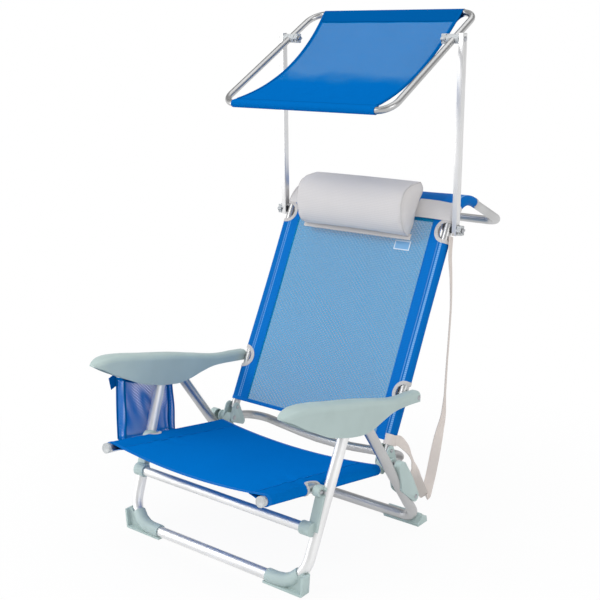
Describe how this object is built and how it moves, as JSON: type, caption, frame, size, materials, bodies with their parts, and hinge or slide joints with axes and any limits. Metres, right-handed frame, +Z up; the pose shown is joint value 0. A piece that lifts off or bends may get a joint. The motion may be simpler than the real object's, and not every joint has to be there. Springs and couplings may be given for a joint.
{
  "type": "folding beach chair with canopy",
  "caption": "Low folding beach chair with aluminium tube frame, mesh sling seat and back, moulded armrests, head pillow, towel bar and tilting sun canopy.",
  "frame": {"origin": "on the floor, under the middle of the chair's bounding box", "axes": "+Z up; the sitter faces -Y; +X is to the right of a person who looks at the chair from the front"},
  "size_m": [0.6382, 0.9932, 1.2188],
  "materials": {
    "aluminium": "satin drawn tube",
    "seafoam_plastic": "fine-grained moulding",
    "blue_mesh": "woven mesh",
    "grey_webbing": "plain weave",
    "clear_grey_plastic": "smooth moulding",
    "steel": "plated rivets and bolts"
  },
  "bodies": {
    "seat": {"seat_rail_right": "aluminium", "seat_rail_left": "aluminium", "seat_rail_cap_right": "clear_grey_plastic", "seat_rail_cap_left": "clear_grey_plastic", "seat_rail_eye_right": "seafoam_plastic", "seat_rail_eye_left": "seafoam_plastic", "seat_cloth": "blue_mesh"},
    "backrest": {"bow_tube": "aluminium", "hinge_bracket_right": "seafoam_plastic", "hinge_bracket_left": "seafoam_plastic", "backrest_frame": "aluminium", "hinge_rivet_right": "steel", "hinge_rivet_left": "steel", "hinge_pin_right": "steel", "hinge_pin_left": "steel", "arm_pivot_bolt_right": "steel", "arm_pivot_bolt_left": "steel", "post_bolt_right": "steel", "post_bolt_left": "steel", "backrest_cloth": "blue_mesh", "head_pillow": "grey_webbing", "pillow_strap": "grey_webbing", "carry_strap": "grey_webbing"},
    "front_legs": {"front_leg_frame": "aluminium", "front_stretcher": "aluminium", "front_leg_bracket_right": "seafoam_plastic", "front_leg_bracket_left": "seafoam_plastic", "front_foot_right": "seafoam_plastic", "front_foot_left": "seafoam_plastic", "seat_pivot_pin_right": "steel", "seat_pivot_pin_left": "steel"},
    "rear_legs": {"rear_leg_frame": "aluminium", "rear_foot_right": "seafoam_plastic", "rear_foot_left": "seafoam_plastic", "rear_leaf_inner_right": "seafoam_plastic", "rear_leaf_inner_left": "seafoam_plastic", "rear_leaf_outer_right": "seafoam_plastic", "rear_leaf_outer_left": "seafoam_plastic", "leaf_rivet_right": "steel", "leaf_rivet_left": "steel"},
    "arm_right": {"arm_right": "seafoam_plastic", "arm_leg_pin_right": "steel"},
    "arm_left": {"arm_left": "seafoam_plastic", "arm_leg_pin_left": "steel", "side_pocket": "blue_mesh"},
    "posts": {"canopy_post_right": "aluminium", "canopy_post_left": "aluminium", "post_washer_right": "seafoam_plastic", "post_washer_left": "seafoam_plastic", "canopy_bolt_right": "steel", "canopy_bolt_left": "steel"},
    "canopy": {"canopy_frame": "aluminium", "canopy_clamp_right": "seafoam_plastic", "canopy_clamp_left": "seafoam_plastic", "canopy_cloth": "blue_mesh"},
    "post_knob_right": {"post_knob_right": "clear_grey_plastic"},
    "post_knob_left": {"post_knob_left": "clear_grey_plastic"},
    "canopy_knob_right": {"canopy_knob_right": "clear_grey_plastic"},
    "canopy_knob_left": {"canopy_knob_left": "clear_grey_plastic"}
  },
  "joints": [
    {"name": "backrest_fold", "type": "hinge", "parent": "seat", "child": "backrest", "pos_m": [0.01594, -0.05727, 0.188], "axis": [1, 0, 0], "range_deg": [0, 82]},
    {"name": "front_leg_fold", "type": "hinge", "parent": "seat", "child": "front_legs", "pos_m": [0.01594, -0.33427, 0.217], "axis": [1, 0, 0], "range_deg": [0, 82]},
    {"name": "rear_leg_fold", "type": "hinge", "parent": "seat", "child": "rear_legs", "pos_m": [0.01594, -0.05727, 0.188], "axis": [1, 0, 0], "range_deg": [0, 29.6]},
    {"name": "arm_right_fold", "type": "hinge", "parent": "backrest", "child": "arm_right", "pos_m": [0.29094, 0.02073, 0.333], "axis": [1, 0, 0], "range_deg": [-82, 0]},
    {"name": "arm_left_fold", "type": "hinge", "parent": "backrest", "child": "arm_left", "pos_m": [-0.25906, 0.02073, 0.333], "axis": [1, 0, 0], "range_deg": [-82, 0]},
    {"name": "canopy_post_tilt", "type": "hinge", "parent": "backrest", "child": "posts", "pos_m": [0.01594, 0.20773, 0.702], "axis": [1, 0, 0], "range_deg": [-18, 30]},
    {"name": "canopy_tilt", "type": "hinge", "parent": "posts", "child": "canopy", "pos_m": [0.01594, 0.20373, 1.149], "axis": [1, 0, 0], "range_deg": [-45, 30]},
    {"name": "post_knob_right_turn", "type": "hinge", "parent": "posts", "child": "post_knob_right", "pos_m": [0.29094, 0.20773, 0.702], "axis": [1, 0, 0], "continuous": true},
    {"name": "post_knob_left_turn", "type": "hinge", "parent": "posts", "child": "post_knob_left", "pos_m": [-0.25906, 0.20773, 0.702], "axis": [1, 0, 0], "continuous": true},
    {"name": "canopy_knob_right_turn", "type": "hinge", "parent": "posts", "child": "canopy_knob_right", "pos_m": [0.23394, 0.20373, 1.149], "axis": [1, 0, 0], "continuous": true},
    {"name": "canopy_knob_left_turn", "type": "hinge", "parent": "posts", "child": "canopy_knob_left", "pos_m": [-0.20206, 0.20373, 1.149], "axis": [1, 0, 0], "continuous": true}
  ],
  "couplings": [
    {"joint": "front_leg_fold", "follows": "backrest_fold", "ratio": 1},
    {"joint": "rear_leg_fold", "follows": "backrest_fold", "ratio": 0.36},
    {"joint": "arm_right_fold", "follows": "backrest_fold", "ratio": -1},
    {"joint": "arm_left_fold", "follows": "backrest_fold", "ratio": -1}
  ]
}
